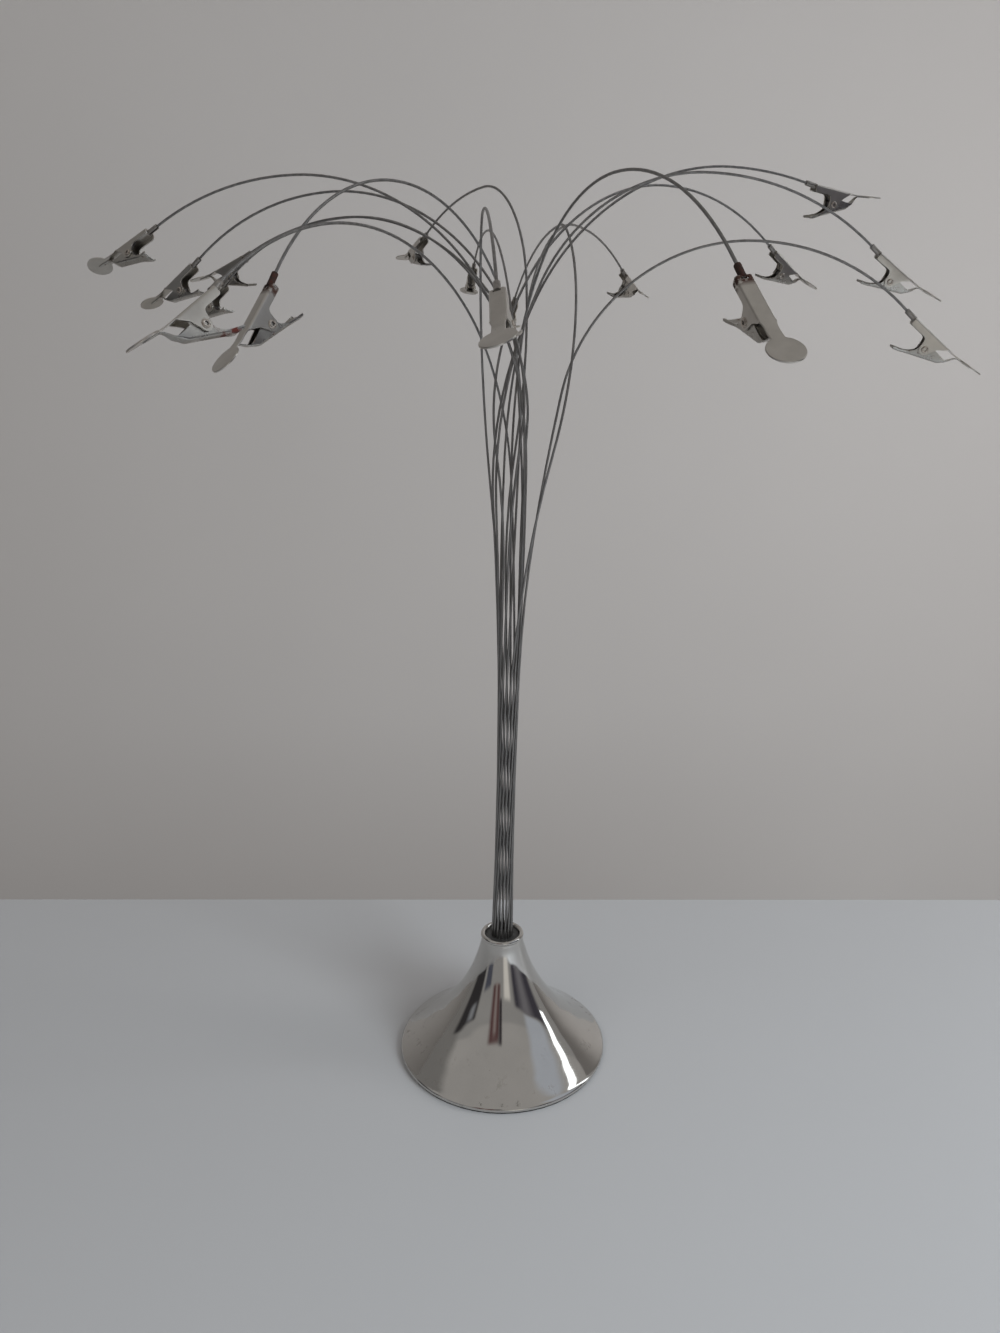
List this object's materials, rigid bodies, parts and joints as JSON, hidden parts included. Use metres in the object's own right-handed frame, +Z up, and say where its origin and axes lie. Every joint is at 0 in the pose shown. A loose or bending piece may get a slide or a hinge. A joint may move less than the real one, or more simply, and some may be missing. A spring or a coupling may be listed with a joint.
{
  "type": "photo tree stand",
  "caption": "Free-standing photo tree: weighted trumpet base, a bundle of spring wires that arch outwards, and a sprung clip at the end of each.",
  "frame": {"origin": "centre of the resting face, on the vertical axis of the base", "axes": "+Z up along the bundle of wires, -Y towards the viewer, +X to the viewer's right"},
  "size_m": [0.3644, 0.3662, 0.4014],
  "materials": {
    "base_chrome": "polished chrome plating",
    "pad_rubber": "matt",
    "socket_steel": "plain",
    "wire_steel": "dull drawn spring wire",
    "clip_nickel": "nickel plated, dulled",
    "rivet_steel": "nickel plated, dulled",
    "spring_steel": "plain"
  },
  "bodies": {
    "stand": {"base_casting": "base_chrome", "base_pad": "pad_rubber", "wire_socket": "socket_steel", "socket_screw": "socket_steel", "socket_washer": "socket_steel", "arm_wire_01": "wire_steel", "clip_plate_01": "clip_nickel", "arm_wire_02": "wire_steel", "clip_plate_02": "clip_nickel", "arm_wire_03": "wire_steel", "clip_plate_03": "clip_nickel", "arm_wire_04": "wire_steel", "clip_plate_04": "clip_nickel", "arm_wire_05": "wire_steel", "clip_plate_05": "clip_nickel", "arm_wire_06": "wire_steel", "clip_plate_06": "clip_nickel", "arm_wire_07": "wire_steel", "clip_plate_07": "clip_nickel", "arm_wire_08": "wire_steel", "clip_plate_08": "clip_nickel", "arm_wire_09": "wire_steel", "clip_plate_09": "clip_nickel", "arm_wire_10": "wire_steel", "clip_plate_10": "clip_nickel", "arm_wire_11": "wire_steel", "clip_plate_11": "clip_nickel", "arm_wire_12": "wire_steel", "clip_plate_12": "clip_nickel", "arm_wire_13": "wire_steel", "clip_plate_13": "clip_nickel", "arm_wire_14": "wire_steel", "clip_plate_14": "clip_nickel", "arm_wire_15": "wire_steel", "clip_plate_15": "clip_nickel", "arm_wire_16": "wire_steel", "clip_plate_16": "clip_nickel", "clip_rivets": "rivet_steel", "clip_springs": "spring_steel"},
    "lever_01": {"clip_lever_01": "clip_nickel"},
    "lever_02": {"clip_lever_02": "clip_nickel"},
    "lever_03": {"clip_lever_03": "clip_nickel"},
    "lever_04": {"clip_lever_04": "clip_nickel"},
    "lever_05": {"clip_lever_05": "clip_nickel"},
    "lever_06": {"clip_lever_06": "clip_nickel"},
    "lever_07": {"clip_lever_07": "clip_nickel"},
    "lever_08": {"clip_lever_08": "clip_nickel"},
    "lever_09": {"clip_lever_09": "clip_nickel"},
    "lever_10": {"clip_lever_10": "clip_nickel"},
    "lever_11": {"clip_lever_11": "clip_nickel"},
    "lever_12": {"clip_lever_12": "clip_nickel"},
    "lever_13": {"clip_lever_13": "clip_nickel"},
    "lever_14": {"clip_lever_14": "clip_nickel"},
    "lever_15": {"clip_lever_15": "clip_nickel"},
    "lever_16": {"clip_lever_16": "clip_nickel"}
  },
  "joints": [
    {"name": "lever_01_hinge", "type": "hinge", "parent": "stand", "child": "lever_01", "pos_m": [-0.15493, 0.03354, 0.36628], "axis": [-0.4848, -0.7234, 0.4917], "range_deg": [0, 20], "stiffness_Nm_per_rad": 0.02, "springref_deg": -45.84, "deforming": ["clip_springs"]},
    {"name": "lever_02_hinge", "type": "hinge", "parent": "stand", "child": "lever_02", "pos_m": [-0.14128, 0.05577, 0.35304], "axis": [-0.468, -0.873, 0.1368], "range_deg": [0, 20], "stiffness_Nm_per_rad": 0.02, "springref_deg": -45.84, "deforming": ["clip_springs"]},
    {"name": "lever_03_hinge", "type": "hinge", "parent": "stand", "child": "lever_03", "pos_m": [-0.12711, 0.08887, 0.36004], "axis": [-0.452, -0.8885, -0.0796], "range_deg": [0, 20], "stiffness_Nm_per_rad": 0.02, "springref_deg": -45.84, "deforming": ["clip_springs"]},
    {"name": "lever_04_hinge", "type": "hinge", "parent": "stand", "child": "lever_04", "pos_m": [-0.13586, 0.08463, 0.34628], "axis": [-0.6279, -0.7496, 0.2094], "range_deg": [0, 20], "stiffness_Nm_per_rad": 0.02, "springref_deg": -45.84, "deforming": ["clip_springs"]},
    {"name": "lever_05_hinge", "type": "hinge", "parent": "stand", "child": "lever_05", "pos_m": [-0.0825, -0.13187, 0.33765], "axis": [0.703, -0.6165, 0.3544], "range_deg": [0, 20], "stiffness_Nm_per_rad": 0.02, "springref_deg": -45.84, "deforming": ["clip_springs"]},
    {"name": "lever_06_hinge", "type": "hinge", "parent": "stand", "child": "lever_06", "pos_m": [-0.07187, -0.09695, 0.3381], "axis": [0.7215, -0.6747, 0.1558], "range_deg": [0, 20], "stiffness_Nm_per_rad": 0.02, "springref_deg": -45.84, "deforming": ["clip_springs"]},
    {"name": "lever_07_hinge", "type": "hinge", "parent": "stand", "child": "lever_07", "pos_m": [-0.04281, 0.13318, 0.37173], "axis": [-0.9135, -0.4067, 0], "range_deg": [0, 20], "stiffness_Nm_per_rad": 0.02, "springref_deg": -45.84, "deforming": ["clip_springs"]},
    {"name": "lever_08_hinge", "type": "hinge", "parent": "stand", "child": "lever_08", "pos_m": [-0.01753, 0.17324, 0.35868], "axis": [-0.9862, -0.059, 0.1547], "range_deg": [0, 20], "stiffness_Nm_per_rad": 0.02, "springref_deg": -45.84, "deforming": ["clip_springs"]},
    {"name": "lever_09_hinge", "type": "hinge", "parent": "stand", "child": "lever_09", "pos_m": [0.00063, -0.14438, 0.33731], "axis": [0.9474, -0.1216, 0.2962], "range_deg": [0, 20], "stiffness_Nm_per_rad": 0.02, "springref_deg": -45.84, "deforming": ["clip_springs"]},
    {"name": "lever_10_hinge", "type": "hinge", "parent": "stand", "child": "lever_10", "pos_m": [0.06597, 0.1634, 0.35667], "axis": [-0.7208, 0.5182, 0.4603], "range_deg": [0, 20], "stiffness_Nm_per_rad": 0.02, "springref_deg": -45.84, "deforming": ["clip_springs"]},
    {"name": "lever_11_hinge", "type": "hinge", "parent": "stand", "child": "lever_11", "pos_m": [0.06523, -0.14651, 0.33883], "axis": [0.9704, 0.2066, 0.1249], "range_deg": [0, 20], "stiffness_Nm_per_rad": 0.02, "springref_deg": -45.84, "deforming": ["clip_springs"]},
    {"name": "lever_12_hinge", "type": "hinge", "parent": "stand", "child": "lever_12", "pos_m": [0.13318, 0.10077, 0.3618], "axis": [-0.4128, 0.8656, 0.2835], "range_deg": [0, 20], "stiffness_Nm_per_rad": 0.02, "springref_deg": -45.84, "deforming": ["clip_springs"]},
    {"name": "lever_13_hinge", "type": "hinge", "parent": "stand", "child": "lever_13", "pos_m": [0.14356, 0.06246, 0.38879], "axis": [-0.3327, 0.9277, 0.1692], "range_deg": [0, 20], "stiffness_Nm_per_rad": 0.02, "springref_deg": -45.84, "deforming": ["clip_springs"]},
    {"name": "lever_14_hinge", "type": "hinge", "parent": "stand", "child": "lever_14", "pos_m": [0.16014, 0.02748, 0.35583], "axis": [-0.0073, 0.9795, 0.2011], "range_deg": [0, 20], "stiffness_Nm_per_rad": 0.02, "springref_deg": -45.84, "deforming": ["clip_springs"]},
    {"name": "lever_15_hinge", "type": "hinge", "parent": "stand", "child": "lever_15", "pos_m": [0.16484, -0.0067, 0.32957], "axis": [0.1549, 0.98, 0.1249], "range_deg": [0, 20], "stiffness_Nm_per_rad": 0.02, "springref_deg": -45.84, "deforming": ["clip_springs"]},
    {"name": "lever_16_hinge", "type": "hinge", "parent": "stand", "child": "lever_16", "pos_m": [0.00466, 0.1551, 0.34133], "axis": [-0.9877, -0.1564, 0], "range_deg": [0, 20], "stiffness_Nm_per_rad": 0.02, "springref_deg": -45.84, "deforming": ["clip_springs"]}
  ]
}
